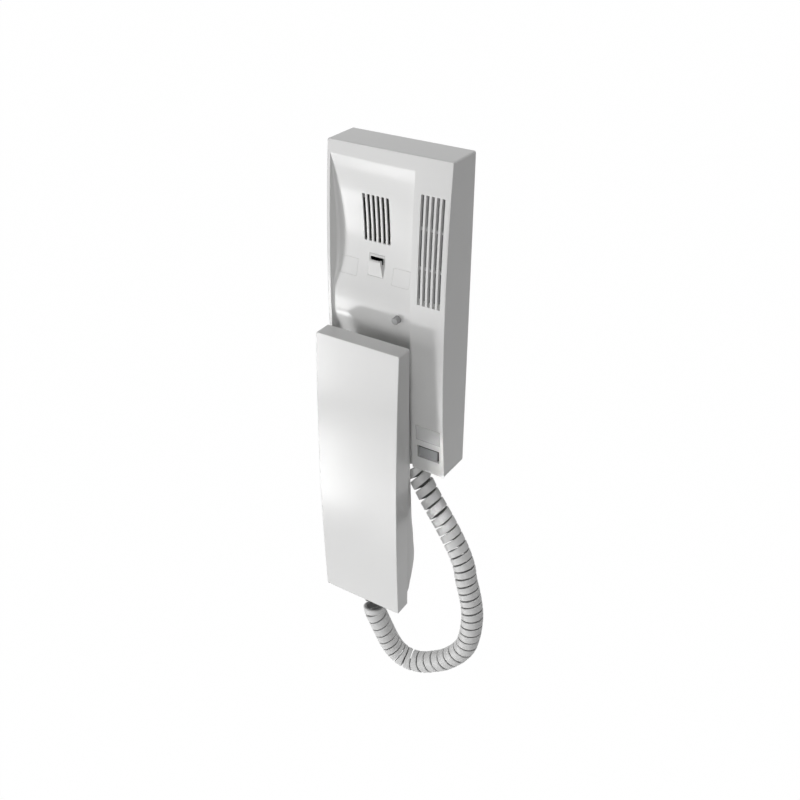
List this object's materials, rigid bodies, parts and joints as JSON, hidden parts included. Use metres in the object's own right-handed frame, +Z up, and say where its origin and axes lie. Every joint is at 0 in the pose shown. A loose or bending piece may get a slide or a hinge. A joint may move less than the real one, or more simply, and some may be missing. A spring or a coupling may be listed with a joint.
{
  "type": "slimline wall phone",
  "caption": "Slim wall-mounted door phone: a flat housing with a scooped cradle and door key, and a slim handset on a curly cord.",
  "frame": {"origin": "middle of the housing's back face, on the wall", "axes": "+X to the right, +Y into the wall, +Z up; the front faces -Y"},
  "size_m": [0.1224, 0.0551, 0.3886],
  "materials": {
    "shell_white": "glossy moulded",
    "cord_white": "satin flexible plastic",
    "plunger_grey": "satin moulded",
    "key_grey": "satin moulded",
    "screen_grey": "matt moulded",
    "card_white": "paper card",
    "window_clear": "clear polished",
    "speaker_dark": "matt",
    "switch_dark": "satin",
    "seal_rubber": "soft foam and rubber",
    "screw_steel": "zinc plated",
    "microphone_metal": "satin can",
    "board_green": "solder resist on laminate",
    "terminal_grey": "satin moulded",
    "connector_cream": "natural nylon"
  },
  "bodies": {
    "housing": {"rear_base": "shell_white", "front_cover": "shell_white", "cradle_hook": "shell_white", "speaker": "speaker_dark", "speaker_gasket": "seal_rubber", "speaker_screws": "screw_steel", "slit_screen": "screen_grey", "circuit_board": "board_green", "board_screws": "screw_steel", "hook_switch": "switch_dark", "plunger_spring": "screw_steel", "button_switch": "switch_dark", "button_spring": "screw_steel", "terminal_block": "terminal_grey", "terminal_screws": "screw_steel", "cord_connector": "connector_cream", "name_card": "card_white", "name_window": "window_clear", "cord_grommet": "cord_white", "cover_screw": "screw_steel", "handset_cord": "cord_white"},
    "plunger": {"hook_plunger": "plunger_grey"},
    "key": {"door_button": "key_grey"},
    "handset": {"handset_front": "shell_white", "handset_back": "shell_white", "earpiece": "speaker_dark", "earpiece_gasket": "seal_rubber", "microphone": "microphone_metal", "microphone_boot": "seal_rubber", "handset_grommet": "cord_white", "handset_screws": "screw_steel"}
  },
  "joints": [
    {"name": "handset_slide", "type": "slide", "parent": "housing", "child": "handset", "axis": [-0.0494, 0.015, 0.9987], "range_m": [0, 0.11345], "deforming": ["handset_cord"]},
    {"name": "plunger_slide", "type": "slide", "parent": "housing", "child": "plunger", "axis": [0, 1, 0], "range_m": [0, 0.004], "deforming": ["plunger_spring"]},
    {"name": "key_press", "type": "slide", "parent": "housing", "child": "key", "axis": [0, 1, 0], "range_m": [0, 0.0012], "stiffness_N_per_m": 300, "springref_m": -0.002, "deforming": ["button_spring"]}
  ],
  "couplings": [
    {"joint": "plunger_slide", "follows": "handset_slide", "ratio": 0.035257}
  ]
}
